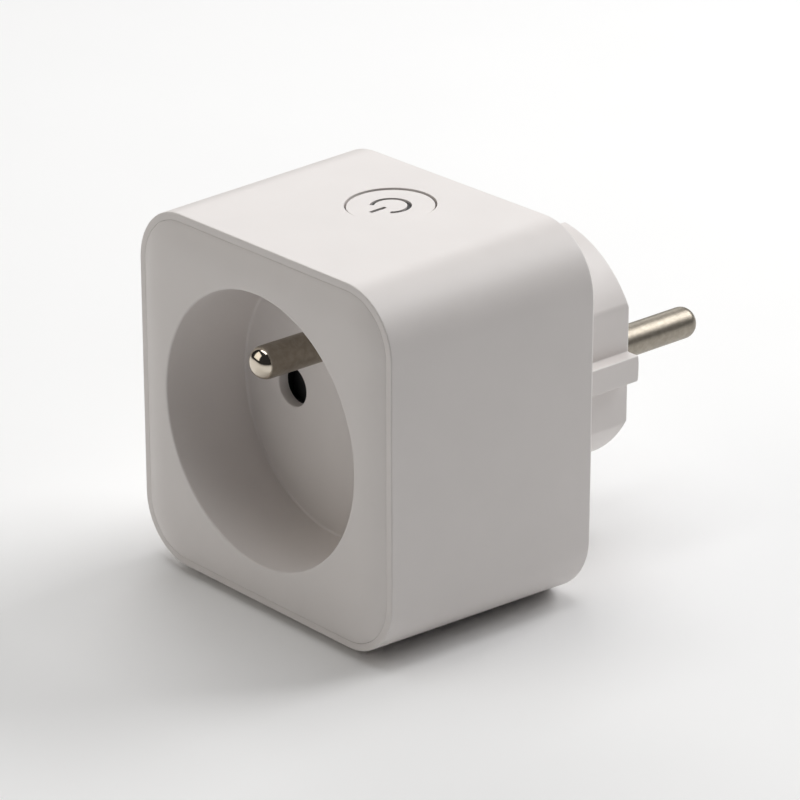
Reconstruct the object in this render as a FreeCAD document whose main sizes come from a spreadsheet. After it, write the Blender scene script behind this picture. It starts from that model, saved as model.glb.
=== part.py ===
import FreeCAD, Part
import math
import os
import re
import Sketcher

# A mains smart plug: a drafted rounded-square casing with a recessed pin-earth socket in front, a round
# two-pin plug nose behind, a power button on top, and the switching electronics inside.
# Frame: origin at the centre of the engagement face, the nose's flat end that meets the wall socket.
# +Y runs along the plug pins towards the wall, +Z is up, through the button. Millimetres.

DIMENSIONS = [
    # casing
    ("nose_length", 18.6),
    ("shell_depth", 37.3),
    ("shell_rear_size", 55.8),
    ("shell_front_size", 53.7),
    ("shell_rear_corner", 10.0),
    ("shell_front_corner", 9.0),
    ("shell_wall", 2.0),
    ("shell_edge_round", 0.5),
    ("face_plate", 1.0),
    ("face_edge_round", 0.8),
    ("seam_gap", 0.12),
    ("fit_gap", 0.1),
    ("overcut", 1.0),
    ("rim_wall", 1.2),
    ("rear_wall", 2.0),
    ("lip_depth", 3.5),
    ("lip_wall", 1.2),
    ("post_offset", 18.6),
    ("post_radius", 2.6),
    ("post_pilot_radius", 0.95),
    ("post_pilot_depth", 9.0),
    # socket recess
    ("recess_depth", 14.2),
    ("recess_rim_radius", 20.2),
    ("recess_floor_radius", 19.87),
    ("recess_rim_round", 0.4),
    ("cup_radius", 21.7),
    ("floor_wall", 1.7),
    ("contact_hole_radius", 3.0),
    # plug nose
    ("nose_radius", 18.25),
    ("nose_flat", 16.0),
    ("rib_half_width", 2.0),
    ("nose_end_wall", 3.0),
    ("cavity_half_width", 13.9),
    ("cavity_half_height", 13.4),
    ("cavity_corner", 5.0),
    ("clip_groove_half", 2.6),
    ("clip_groove_floor", 15.0),
    ("clip_groove_length", 16.3),
    ("clip_slot_length", 1.2),
    # pins and earth parts
    ("pin_radius", 2.4),
    ("pin_pitch", 19.0),
    ("pin_length", 19.0),
    ("pin_tip_round", 2.0),
    ("pin_root_radius", 2.2),
    ("pin_clearance", 0.05),
    ("collar_radius", 3.4),
    ("collar_length", 1.2),
    ("tail_radius", 1.5),
    ("pin_tail_end", 6.0),
    ("earth_height", 10.0),
    ("earth_tip_proud", 0.5),
    ("earth_tip_round", 2.1),
    ("strip_thick", 0.8),
    ("bridge_front", 15.3),
    ("bridge_half_width", 2.1),
    ("bridge_half_height", 12.9),
    ("receptacle_radius", 3.2),
    ("receptacle_bore_radius", 2.45),
    ("receptacle_mouth_radius", 2.7),
    ("clip_leg_foot", 11.8),
    ("clip_shoulder", 17.0),
    ("clip_crown", 18.3),
    ("clip_crown_back", 9.0),
    ("clip_dip", 17.1),
    ("clip_dip_back", 3.5),
    ("clip_end", 15.7),
    ("clip_end_back", 1.6),
    # live parts behind the recess
    ("strap_drop", 9.0),
    ("contact_radius", 3.5),
    ("contact_bore_radius", 2.45),
    ("contact_slot", 1.0),
    ("holder_half_width", 14.6),
    ("holder_half_height", 5.2),
    ("holder_length", 8.3),
    # shutter
    ("tray_left", 16.0),
    ("tray_right", 23.0),
    ("tray_half_height", 6.2),
    ("tray_depth", 4.6),
    ("tray_floor", 1.5),
    ("tray_wall", 1.2),
    ("slider_half_length", 12.9),
    ("slider_half_height", 4.8),
    ("slider_window_half", 3.3),
    ("slider_gap", 0.2),
    ("slider_thick", 2.6),
    ("slider_rail_thick", 1.3),
    ("pad_half_length", 3.2),
    ("spring_radius", 1.2),
    ("spring_wire", 0.2),
    ("spring_turns", 7.0),
    # boards
    ("board_back", 22.6),
    ("board_thick", 1.6),
    ("board_size", 47.0),
    ("board_corner", 6.0),
    ("screw_radius", 0.93),
    ("screw_head_radius", 2.1),
    ("screw_head_height", 1.3),
    ("screw_length", 8.0),
    ("drive_slot", 0.4),
    # relay
    ("relay_half_width", 9.6),
    ("relay_top", 8.7),
    ("relay_height", 15.3),
    ("relay_depth", 15.3),
    ("relay_wall", 0.8),
    ("relay_base_thick", 2.0),
    ("coil_radius", 4.3),
    ("coil_offset", 3.0),
    ("coil_length", 9.6),
    ("core_radius", 1.5),
    ("yoke_near", 2.0),
    ("yoke_thick", 1.2),
    ("yoke_half_height", 4.0),
    ("yoke_length", 10.4),
    ("armature_gap", 0.3),
    ("armature_thick", 1.0),
    ("armature_reach", 6.5),
    ("hinge_bead_radius", 0.25),
    ("blade_length", 7.5),
    ("blade_thick", 0.5),
    ("fixed_contact_near", 4.4),
    # board parts
    ("film_cap_near", 15.4),
    ("film_cap_width", 6.0),
    ("film_cap_height", 13.0),
    ("board_part_depth", 11.0),
    ("core_near", 15.3),
    ("core_width", 8.6),
    ("core_height", 12.0),
    ("core_leg", 2.2),
    ("core_stand", 1.0),
    ("can_radius", 4.0),
    ("can_offset", 11.5),
    ("can_height_above", 12.2),
    ("can_length", 11.8),
    ("varistor_radius", 4.8),
    ("varistor_thick", 3.6),
    ("varistor_near", 11.3),
    ("varistor_drop", 12.2),
    ("fuse_radius", 1.6),
    ("fuse_length", 9.0),
    ("fuse_offset", 12.6),
    ("chip_thick", 1.2),
    ("meter_near", 7.0),
    ("meter_foot", 12.0),
    ("meter_width", 5.0),
    ("meter_height", 6.0),
    ("rectifier_near", 7.0),
    ("rectifier_foot", 14.0),
    ("rectifier_width", 4.6),
    ("rectifier_height", 4.0),
    ("hole_play", 0.2),
    ("tail_play", 0.4),
    # button and its board
    ("button_back", 31.45),
    ("button_radius", 6.25),
    ("button_gap", 0.25),
    ("button_flange_radius", 7.3),
    ("button_flange_floor", 24.2),
    ("button_flange_thick", 0.9),
    ("button_skin_level", 26.7),
    ("guide_radius", 5.2),
    ("icon_radius", 2.6),
    ("icon_stroke", 0.42),
    ("icon_gap_angle", 48.0),
    ("icon_bar_inner", 0.9),
    ("icon_bar_outer", 3.75),
    ("trim_reach", 10.0),
    ("control_board_top", 20.8),
    ("control_board_thick", 1.2),
    ("control_board_half_width", 13.0),
    ("control_board_front", 39.4),
    ("switch_size", 6.0),
    ("switch_height", 2.6),
    ("plunger_radius", 1.7),
    ("plunger_length", 1.6),
    ("plunger_well_floor", 1.2),
    ("module_half_width", 11.0),
    ("module_thick", 0.8),
    ("module_length", 11.6),
    ("shield_inset", 1.0),
    ("shield_width", 16.5),
    ("shield_height", 2.2),
    ("header_half_width", 7.6),
    ("header_height", 2.5),
    ("header_length", 2.6),
]

# Stations along the plug axis, as formulas of the driving dimensions
FACE = "(0 - nose_length - shell_depth)"
SEAM = "(face_plate - nose_length - shell_depth)"
FLOOR = "(recess_depth - nose_length - shell_depth)"
FLOOR_BACK = "(recess_depth + floor_wall - nose_length - shell_depth)"
REAR = "(0 - nose_length)"
REAR_INSIDE = "(0 - nose_length - rear_wall)"
BOARD_REAR = "(0 - board_back)"
BOARD_FRONT = "(0 - board_back - board_thick)"
TRAY_BACK = "(recess_depth + floor_wall + tray_depth - nose_length - shell_depth)"
BUTTON_Y = "(0 - button_back)"
HALF_PITCH = "(pin_pitch / 2)"
# Rise of the casing's top face per millimetre towards the rear
DRAFT = "((shell_rear_size - shell_front_size) / 2 / (shell_depth - face_plate - seam_gap))"
BEYOND = "40"
TOUCH = 1e-6

doc = FreeCAD.newDocument("smart_plug")
sheet = doc.addObject("Spreadsheet::Sheet", "dims")
names = {name for name, size in DIMENSIONS}
nodes = []


# ---- sheet and binding ---------------------------------------------------------------------------

def fill_sheet():
    for row, (name, size) in enumerate(DIMENSIONS, start=1):
        sheet.set(f"A{row}", name)
        sheet.set(f"B{row}", str(size))
        sheet.setAlias(f"B{row}", name)
    doc.recompute()


def qualified(text):
    """A formula of plain dimension names, with each name pointed at the sheet."""
    return re.sub(r"[a-z_]+", lambda m: "dims." + m.group(0) if m.group(0) in names else m.group(0), text)


def bind(item, path, text):
    item.setExpression(path, qualified(text))


def value(text):
    return float(sheet.evalExpression(text))


def keep(item, label):
    """Register a finished sub-part under the name of its node."""
    item.Label = label
    nodes.append(item)
    return item


def place(item, x="0", y="0", z="0"):
    for letter, text in zip("xyz", (x, y, z)):
        bind(item, f"Placement.Base.{letter}", text)


# ---- sketches ------------------------------------------------------------------------------------

def new_body(label):
    return keep(doc.addObject("PartDesign::Body", label), label)


def sketch_on(body, role, offset):
    plane = next(item for item in body.Origin.OriginFeatures if item.Role == role)
    sketch = body.newObject("Sketcher::SketchObject", body.Name + "_sketch")
    sketch.AttachmentSupport = [(plane, "")]
    sketch.MapMode = "FlatFace"
    bind(sketch, "AttachmentOffset.Base.z", offset)
    return sketch


def across(body, station):
    """A sketch across the plug axis at a station along Y: sketch x is X, sketch y is Z."""
    return sketch_on(body, "XZ_Plane", f"0 - ({station})")


def level(body, height="0"):
    """A level sketch: sketch x is X, sketch y is Y."""
    return sketch_on(body, "XY_Plane", height)


def profile(body, offset="0"):
    """A sketch in the side view: sketch x is Y, sketch y is Z."""
    return sketch_on(body, "YZ_Plane", offset)


def hold_point(sketch, curve, point, x, y):
    """Hold one point of a curve at its two coordinates."""
    for kind, axis, text in (("DistanceX", -2, x), ("DistanceY", -1, y)):
        number = value(text)
        if abs(number) < TOUCH:
            sketch.addConstraint(Sketcher.Constraint("PointOnObject", curve, point, axis))
        elif number > 0:
            index = sketch.addConstraint(Sketcher.Constraint(kind, -1, 1, curve, point, number))
            bind(sketch, f"Constraints[{index}]", text)
        else:
            index = sketch.addConstraint(Sketcher.Constraint(kind, curve, point, -1, 1, -number))
            bind(sketch, f"Constraints[{index}]", f"0 - ({text})")


def outline(sketch, points):
    """A closed outline of straight lines through the given corners."""
    corners = [FreeCAD.Vector(value(x), value(y), 0) for x, y in points]
    first = len(sketch.Geometry)
    for start, end in zip(corners, corners[1:] + corners[:1]):
        sketch.addGeometry(Part.LineSegment(start, end))
    for step, (x, y) in enumerate(points):
        following = first + (step + 1) % len(points)
        sketch.addConstraint(Sketcher.Constraint("Coincident", first + step, 2, following, 1))
        hold_point(sketch, first + step, 1, x, y)


def rectangle(sketch, left, right, bottom, top):
    outline(sketch, [(left, bottom), (right, bottom), (right, top), (left, top)])


def circle(sketch, x, y, radius):
    centre = FreeCAD.Vector(value(x), value(y), 0)
    curve = sketch.addGeometry(Part.Circle(centre, FreeCAD.Vector(0, 0, 1), value(radius)))
    hold_point(sketch, curve, 3, x, y)
    index = sketch.addConstraint(Sketcher.Constraint("Radius", curve, value(radius)))
    bind(sketch, f"Constraints[{index}]", radius)


def rounded_rectangle(sketch, width, height, corner):
    """A rectangle with round corners, centred on the sketch's origin."""
    half_w = value(width) / 2
    half_h = value(height) / 2
    radius = value(corner)
    first = len(sketch.Geometry)
    straight_w = half_w - radius
    straight_h = half_h - radius
    sides = [
        ((-straight_w, -half_h), (straight_w, -half_h)),
        ((half_w, -straight_h), (half_w, straight_h)),
        ((straight_w, half_h), (-straight_w, half_h)),
        ((-half_w, straight_h), (-half_w, -straight_h)),
    ]
    for start, end in sides:
        sketch.addGeometry(Part.LineSegment(FreeCAD.Vector(*start, 0), FreeCAD.Vector(*end, 0)))
    for quarter, (right, up) in enumerate(((1, -1), (1, 1), (-1, 1), (-1, -1))):
        centre = FreeCAD.Vector(right * straight_w, up * straight_h, 0)
        full = Part.Circle(centre, FreeCAD.Vector(0, 0, 1), radius)
        begin = (quarter - 1) * math.pi / 2
        sketch.addGeometry(Part.ArcOfCircle(full, begin, begin + math.pi / 2))
    for quarter in range(4):
        arc = first + 4 + quarter
        sketch.addConstraint(Sketcher.Constraint("Tangent", first + quarter, 2, arc, 1))
        sketch.addConstraint(Sketcher.Constraint("Tangent", arc, 2, first + (quarter + 1) % 4, 1))
        direction = "Horizontal" if quarter % 2 == 0 else "Vertical"
        sketch.addConstraint(Sketcher.Constraint(direction, first + quarter))
        if quarter:
            sketch.addConstraint(Sketcher.Constraint("Equal", first + 4, arc))
    sketch.addConstraint(Sketcher.Constraint("Symmetric", first + 4, 3, first + 6, 3, -1, 1))
    sizes = [
        (Sketcher.Constraint("DistanceX", first + 3, 1, first + 1, 1, 2 * half_w), width),
        (Sketcher.Constraint("DistanceY", first, 1, first + 2, 1, 2 * half_h), height),
        (Sketcher.Constraint("Radius", first + 4, radius), corner),
    ]
    for constraint, text in sizes:
        index = sketch.addConstraint(constraint)
        bind(sketch, f"Constraints[{index}]", text)


# ---- features ------------------------------------------------------------------------------------

def extrude(body, kind, sketch, length, reverse, both_sides):
    feature = body.newObject("PartDesign::" + kind, body.Name + "_" + kind.lower())
    feature.Profile = sketch
    feature.Reversed = reverse
    feature.SideType = "Symmetric" if both_sides else "One side"
    bind(feature, "Length", length)
    return feature


def pad(body, sketch, length, reverse=False, both_sides=False):
    """Add material along the sketch's normal: -Y for a sketch across the axis."""
    return extrude(body, "Pad", sketch, length, reverse, both_sides)


def cut(body, sketch, length, reverse=True, both_sides=False):
    """Remove material along the sketch's normal, as pad adds it."""
    return extrude(body, "Pocket", sketch, length, reverse, both_sides)


def turn(body, kind, sketch):
    """Revolve or groove a profile about the sketch's upright axis."""
    feature = body.newObject("PartDesign::" + kind, body.Name + "_turn")
    feature.Profile = sketch
    feature.ReferenceAxis = (sketch, ["V_Axis"])
    feature.Angle = 360
    return feature


def loft(body, kind, first, second):
    feature = body.newObject("PartDesign::" + kind, body.Name + "_loft")
    feature.Profile = first
    feature.Sections = [second]
    feature.Ruled = True
    return feature


def round_edges(body, feature, chosen, radius):
    """Round the edges of a feature that the test picks out."""
    doc.recompute()
    edges = [f"Edge{i}" for i, edge in enumerate(feature.Shape.Edges, start=1) if chosen(edge)]
    fillet = body.newObject("PartDesign::Fillet", body.Name + "_round")
    fillet.Base = (feature, edges)
    bind(fillet, "Radius", radius)
    return fillet


def lies_at(edge, station):
    """True when the whole edge lies in the plane across the axis at a station."""
    box = edge.BoundBox
    return abs(box.YMin - station) < 1e-4 and abs(box.YMax - station) < 1e-4


def is_circle(edge, radius):
    return isinstance(edge.Curve, Part.Circle) and abs(edge.Curve.Radius - radius) < 1e-4


# ---- primitives ----------------------------------------------------------------------------------

def block(x, y, z, wide, deep, high):
    """A box from its lowest corner and its size along X, Y and Z."""
    item = doc.addObject("Part::Box", "block")
    place(item, x, y, z)
    for side, text in (("Length", wide), ("Width", deep), ("Height", high)):
        bind(item, side, text)
    return item


def drum(x, y, z, radius, length, along="Z"):
    """A cylinder from the centre of its first end, along Y or Z or X."""
    item = doc.addObject("Part::Cylinder", "drum")
    turns = {
        "X": FreeCAD.Rotation(FreeCAD.Vector(0, 1, 0), 90),
        "Y": FreeCAD.Rotation(FreeCAD.Vector(1, 0, 0), -90),
        "Z": FreeCAD.Rotation(),
    }
    item.Placement = FreeCAD.Placement(FreeCAD.Vector(), turns[along])
    place(item, x, y, z)
    bind(item, "Radius", radius)
    bind(item, "Height", length)
    return item


def minus(base, *tools):
    item = base
    for tool in tools:
        step = doc.addObject("Part::Cut", "cut")
        step.Base = item
        step.Tool = tool
        item = step
    return item


def joined(*items):
    item = doc.addObject("Part::MultiFuse", "joined")
    item.Shapes = list(items)
    item.Refine = True
    return item


def group(*items):
    """Separate solids that share one node."""
    item = doc.addObject("Part::Compound", "group")
    item.Links = list(items)
    return item


# ---- casing --------------------------------------------------------------------------------------

def make_front_cover():
    """Face plate, socket cup and the four posts that carry the power board, moulded in one."""
    body = new_body("front_cover")
    sketch = across(body, SEAM)
    rounded_rectangle(sketch, "shell_front_size", "shell_front_size", "shell_front_corner")
    plate = pad(body, sketch, "face_plate")
    round_edges(body, plate, lambda edge: lies_at(edge, value(FACE)), "face_edge_round")
    sketch = across(body, FLOOR_BACK)
    circle(sketch, "0", "0", "cup_radius")
    pad(body, sketch, "recess_depth + floor_wall - face_plate / 2")
    sketch = across(body, f"{SEAM} + lip_depth")
    lip = "shell_front_size - 2 * shell_wall - 2 * fit_gap"
    rounded_rectangle(sketch, lip, lip, "shell_front_corner - shell_wall - fit_gap")
    inner = lip + " - 2 * lip_wall"
    rounded_rectangle(sketch, inner, inner, "shell_front_corner - shell_wall - fit_gap - lip_wall")
    pad(body, sketch, "lip_depth")
    sketch = across(body, BOARD_FRONT)
    corner_circles(sketch, "post_radius")
    pad(body, sketch, f"{BOARD_FRONT} - {SEAM}")
    sketch = across(body, BOARD_FRONT)
    corner_circles(sketch, "post_pilot_radius")
    cut(body, sketch, "post_pilot_depth")
    sketch = level(body)
    outline(sketch, [
        ("0", FLOOR),
        ("recess_floor_radius", FLOOR),
        ("recess_rim_radius", FACE),
        ("recess_rim_radius", f"{FACE} - face_plate"),
        ("0", f"{FACE} - face_plate"),
    ])
    recess = turn(body, "Groove", sketch)
    rim = value("recess_rim_radius")
    round_edges(body, recess, lambda edge: is_circle(edge, rim) and lies_at(edge, value(FACE)),
                "recess_rim_round")
    sketch = across(body, FLOOR_BACK)
    for side in ("", "0 - "):
        circle(sketch, f"{side}{HALF_PITCH}", "0", "contact_hole_radius")
    circle(sketch, "0", "earth_height", "pin_radius + pin_clearance")
    cut(body, sketch, "floor_wall + face_plate")


def corner_circles(sketch, radius):
    """One circle at each of the four posts."""
    for right in ("post_offset", "0 - post_offset"):
        for up in ("post_offset", "0 - post_offset"):
            circle(sketch, right, up, radius)


def make_body_shell():
    """The drafted sleeve between the face plate and the rear cover."""
    body = new_body("body_shell")
    front = f"{SEAM} + seam_gap"
    rear_sketch = across(body, REAR)
    rounded_rectangle(rear_sketch, "shell_rear_size", "shell_rear_size", "shell_rear_corner")
    front_sketch = across(body, front)
    rounded_rectangle(front_sketch, "shell_front_size", "shell_front_size", "shell_front_corner")
    sleeve = loft(body, "AdditiveLoft", rear_sketch, front_sketch)
    round_edges(body, sleeve, lambda edge: lies_at(edge, value(REAR)), "shell_edge_round")
    rear_inner = across(body, REAR)
    size = "shell_rear_size - 2 * shell_wall"
    rounded_rectangle(rear_inner, size, size, "shell_rear_corner - shell_wall")
    front_inner = across(body, front)
    size = "shell_front_size - 2 * shell_wall"
    rounded_rectangle(front_inner, size, size, "shell_front_corner - shell_wall")
    loft(body, "SubtractiveLoft", rear_inner, front_inner)
    sketch = across(body, REAR)
    size = "shell_rear_size - 2 * rim_wall"
    rounded_rectangle(sketch, size, size, "shell_rear_corner - rim_wall")
    cut(body, sketch, "rear_wall")
    sketch = level(body, "control_board_top")
    circle(sketch, "0", BUTTON_Y, "button_radius + button_gap")
    cut(body, sketch, "shell_rear_size / 2")


def make_rear_cover():
    """Rear plate and plug nose: side flats with guide ribs, clip grooves, pin and earth holes."""
    body = new_body("rear_cover")
    sketch = across(body, REAR)
    size = "shell_rear_size - 2 * rim_wall - 2 * fit_gap"
    rounded_rectangle(sketch, size, size, "shell_rear_corner - rim_wall - fit_gap")
    pad(body, sketch, "rear_wall")
    sketch = across(body, "0")
    circle(sketch, "0", "0", "nose_radius")
    pad(body, sketch, "nose_length")
    beyond = "(nose_radius + overcut)"
    sketch = across(body, "0")
    for low, high in (("rib_half_width", beyond), (f"0 - {beyond}", "0 - rib_half_width")):
        rectangle(sketch, "nose_flat", beyond, low, high)
        rectangle(sketch, f"0 - {beyond}", "0 - nose_flat", low, high)
    cut(body, sketch, "nose_length")
    sketch = across(body, "0 - nose_end_wall")
    rounded_rectangle(sketch, "2 * cavity_half_width", "2 * cavity_half_height", "cavity_corner")
    cut(body, sketch, "nose_length + rear_wall - nose_end_wall")
    sketch = across(body, "0")
    half = "clip_groove_half"
    rectangle(sketch, f"0 - {half}", half, "clip_groove_floor", beyond)
    rectangle(sketch, f"0 - {half}", half, f"0 - {beyond}", "0 - clip_groove_floor")
    cut(body, sketch, "clip_groove_length")
    sketch = level(body)
    rectangle(sketch, f"0 - {half}", half, "0 - clip_groove_length", "clip_slot_length - clip_groove_length")
    cut(body, sketch, "2 * clip_groove_floor + overcut", both_sides=True)
    sketch = across(body, "0")
    for side in ("", "0 - "):
        circle(sketch, f"{side}{HALF_PITCH}", "0", "pin_radius + pin_clearance")
    circle(sketch, "0", "earth_height", "receptacle_mouth_radius")
    cut(body, sketch, "nose_end_wall")


# ---- pins and earth parts ------------------------------------------------------------------------

def make_plug_pin(label, x):
    """One turned plug pin with a collar behind the nose's end wall and a riveting tail."""
    body = new_body(label)
    sketch = level(body)
    wall = "0 - nose_end_wall"
    collar = "0 - nose_end_wall - collar_length"
    outline(sketch, [
        ("0", "pin_length"),
        ("pin_radius", "pin_length"),
        ("pin_radius", "0"),
        ("pin_root_radius", "0"),
        ("pin_root_radius", wall),
        ("collar_radius", wall),
        ("collar_radius", collar),
        ("tail_radius", collar),
        ("tail_radius", "0 - pin_tail_end"),
        ("0", "0 - pin_tail_end"),
    ])
    turned = turn(body, "Revolution", sketch)
    round_edges(body, turned, lambda edge: lies_at(edge, value("pin_length")), "pin_tip_round")
    place(body, x=x)


def make_earth_pin():
    """The socket's earth pin: domed tip, collar behind the recess floor, long tail to the bridge."""
    body = new_body("earth_pin")
    sketch = level(body)
    tip = f"{FACE} - earth_tip_proud"
    outline(sketch, [
        ("0", tip),
        ("pin_radius", tip),
        ("pin_radius", FLOOR),
        ("pin_root_radius", FLOOR),
        ("pin_root_radius", FLOOR_BACK),
        ("collar_radius", FLOOR_BACK),
        ("collar_radius", f"{FLOOR_BACK} + collar_length"),
        ("tail_radius", f"{FLOOR_BACK} + collar_length"),
        ("tail_radius", "0 - bridge_front"),
        ("0", "0 - bridge_front"),
    ])
    turned = turn(body, "Revolution", sketch)
    round_edges(body, turned, lambda edge: lies_at(edge, value(tip)), "earth_tip_round")
    place(body, z="earth_height")


def make_earth_clip(label, up):
    """A bowed side clip: a leg through the nose wall, the bow over the groove, a tucked-in end."""
    body = new_body(label)
    sketch = profile(body)
    leg = "(0 - bridge_front - strip_thick)"
    path = [
        (leg, "clip_leg_foot"),
        (leg, "clip_shoulder"),
        ("0 - clip_crown_back", "clip_crown"),
        ("0 - clip_dip_back", "clip_dip"),
        ("0 - clip_end_back", "clip_end"),
    ]
    under = [
        ("0 - clip_end_back - strip_thick", "clip_end - strip_thick / 4"),
        ("0 - clip_dip_back - strip_thick / 2", "clip_dip - strip_thick"),
        ("0 - clip_crown_back", "clip_crown - strip_thick"),
        (f"{leg} + strip_thick", "clip_shoulder - strip_thick / 2"),
        (f"{leg} + strip_thick", "clip_leg_foot"),
    ]
    outline(sketch, [(y, f"{up}({z})") for y, z in path + under])
    pad(body, sketch, "2 * bridge_half_width", both_sides=True)


def make_earth_bridge():
    """The strip that joins the earth pin, both side clips and the receptacle."""
    body = new_body("earth_bridge")
    sketch = across(body, "strip_thick - bridge_front")
    rectangle(sketch, "0 - bridge_half_width", "bridge_half_width",
              "0 - bridge_half_height", "bridge_half_height")
    pad(body, sketch, "strip_thick")


def make_earth_receptacle():
    """The sprung sleeve in the nose that takes the wall socket's earth pin."""
    body = new_body("earth_receptacle")
    sketch = across(body, "0 - nose_end_wall")
    circle(sketch, "0", "earth_height", "receptacle_radius")
    circle(sketch, "0", "earth_height", "receptacle_bore_radius")
    pad(body, sketch, "bridge_front - strip_thick - nose_end_wall")


def make_pin_strap(label, side):
    """An angled strap from a plug pin's tail, down and forward to the power board."""
    body = new_body(label)
    centre = f"{side}{HALF_PITCH}"
    front = "0 - nose_end_wall - collar_length - strip_thick"
    sketch = profile(body, centre)
    outline(sketch, [
        ("0 - nose_end_wall - collar_length", "tail_radius + strip_thick"),
        (front, "tail_radius + strip_thick"),
        (front, "strip_thick - strap_drop"),
        (BOARD_REAR, "strip_thick - strap_drop"),
        (BOARD_REAR, "0 - strap_drop"),
        ("0 - nose_end_wall - collar_length", "0 - strap_drop"),
    ])
    pad(body, sketch, "2 * tail_radius + 2 * strip_thick", both_sides=True)
    sketch = across(body, "0")
    circle(sketch, centre, "0", "tail_radius + pin_clearance")
    cut(body, sketch, "pin_tail_end + strip_thick")


# ---- shutter and contacts ------------------------------------------------------------------------

def make_shutter_tray():
    """The tray behind the recess floor that guides the shutter and holds its spring."""
    body = new_body("shutter_tray")
    sketch = across(body, TRAY_BACK)
    rectangle(sketch, "0 - tray_left", "tray_right", "0 - tray_half_height", "tray_half_height")
    pad(body, sketch, "tray_depth")
    sketch = across(body, f"{TRAY_BACK} - tray_floor")
    rectangle(sketch, "2 * tray_wall - tray_left", "tray_right - tray_wall",
              "tray_wall - tray_half_height", "tray_half_height - tray_wall")
    cut(body, sketch, "tray_depth")
    sketch = across(body, TRAY_BACK)
    for side in ("", "0 - "):
        circle(sketch, f"{side}{HALF_PITCH}", "0", "contact_hole_radius")
    cut(body, sketch, "tray_floor")


def make_shutter_slider():
    """Two ramped pads that close the contact holes, tied by two rails; both pins push it aside."""
    body = new_body("shutter_slider")
    front = f"{FLOOR_BACK} + slider_gap"
    sketch = across(body, f"{front} + slider_thick")
    rectangle(sketch, "0 - slider_half_length", "slider_half_length",
              "0 - slider_half_height", "slider_half_height")
    rectangle(sketch, "pad_half_length - pin_pitch / 2", "pin_pitch / 2 - pad_half_length",
              "0 - slider_window_half", "slider_window_half")
    pad(body, sketch, "slider_thick")
    sketch = level(body, "0")
    for side in ("", "0 - "):
        left = f"{side}{HALF_PITCH} - pad_half_length - slider_gap"
        right = f"{side}{HALF_PITCH} + pad_half_length"
        outline(sketch, [
            (left, f"{front} - overcut"),
            (right, f"{front} - overcut"),
            (right, front),
            (left, f"{front} + slider_thick / 2"),
        ])
    cut(body, sketch, "2 * slider_window_half", both_sides=True)
    sketch = across(body, f"{front} + slider_thick")
    for low, high in (("slider_window_half", "slider_half_height + overcut"),
                      ("0 - slider_half_height - overcut", "0 - slider_window_half")):
        rectangle(sketch, "0 - slider_half_length - overcut", "slider_half_length + overcut", low, high)
    cut(body, sketch, "slider_thick - slider_rail_thick")


def make_shutter_spring():
    """The coil spring that closes the shutter, wound along X."""
    free = value("tray_right - tray_wall - slider_half_length - 4 * spring_wire")
    radius = value("spring_radius")
    wire = value("spring_wire")
    helix = Part.makeHelix(free / value("spring_turns"), free, radius)
    start = Part.Wire(Part.makeCircle(wire, FreeCAD.Vector(radius, 0, 0), FreeCAD.Vector(0, 1, 0)))
    coil = Part.Wire(helix.Edges).makePipeShell([start], True, True)
    item = doc.addObject("Part::Feature", "shutter_spring")
    item.Shape = Part.Solid(coil) if coil.ShapeType != "Solid" else coil
    middle = value(f"{FLOOR_BACK} + slider_gap + slider_thick / 2")
    along_x = FreeCAD.Rotation(FreeCAD.Vector(0, 1, 0), 90)
    item.Placement = FreeCAD.Placement(
        FreeCAD.Vector(value("slider_half_length + 2 * spring_wire"), middle, 0), along_x)
    keep(item, "shutter_spring")


def make_contact(label, x):
    """A slotted brass sleeve that grips one pin of the appliance's plug."""
    length = f"{BOARD_FRONT} - {TRAY_BACK}"
    sleeve = drum(x, TRAY_BACK, "0", "contact_radius", length, "Y")
    bore = drum(x, f"{TRAY_BACK} - overcut", "0", "contact_bore_radius", f"{length} + 2 * overcut", "Y")
    slot = block(f"{x} - contact_slot / 2", f"{TRAY_BACK} - overcut", "0 - contact_radius - overcut",
                 "contact_slot", f"{length} - overcut", "2 * contact_radius + 2 * overcut")
    keep(minus(sleeve, bore, slot), label)


def make_contact_holder():
    """The insulating block around both contacts."""
    holder = block("0 - holder_half_width", TRAY_BACK, "0 - holder_half_height",
                   "2 * holder_half_width", "holder_length", "2 * holder_half_height")
    bores = []
    for side in ("", "0 - "):
        bores.append(drum(f"{side}{HALF_PITCH}", f"{TRAY_BACK} - overcut", "0",
                          "contact_radius + fit_gap", "holder_length + 2 * overcut", "Y"))
    keep(minus(holder, *bores), "contact_holder")


# ---- power board ---------------------------------------------------------------------------------

def make_power_board():
    """The main circuit board across the casing, with relief holes for the inserted pins."""
    body = new_body("power_board")
    sketch = across(body, BOARD_REAR)
    rounded_rectangle(sketch, "board_size", "board_size", "board_corner")
    for side in ("", "0 - "):
        circle(sketch, f"{side}{HALF_PITCH}", "0", "pin_radius + hole_play")
    circle(sketch, "0", "earth_height", "tail_radius + tail_play")
    corner_circles(sketch, "screw_radius + hole_play")
    pad(body, sketch, "board_thick")


def make_board_screws():
    """Four screws through the power board into the front cover's posts."""
    screws = []
    for right in ("post_offset", "0 - post_offset"):
        for up in ("post_offset", "0 - post_offset"):
            head = drum(right, BOARD_REAR, up, "screw_head_radius", "screw_head_height", "Y")
            shank = drum(right, f"{BOARD_REAR} - screw_length", up, "screw_radius", "screw_length", "Y")
            drive = block(f"{right} - screw_radius", f"{BOARD_REAR} + screw_head_height / 2",
                          f"{up} - drive_slot / 2", "2 * screw_radius", "screw_head_height", "drive_slot")
            cross = block(f"{right} - drive_slot / 2", f"{BOARD_REAR} + screw_head_height / 2",
                          f"{up} - screw_radius", "drive_slot", "screw_head_height", "2 * screw_radius")
            screws.append(minus(joined(head, shank), drive, cross))
    keep(group(*screws), "board_screws")


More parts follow.
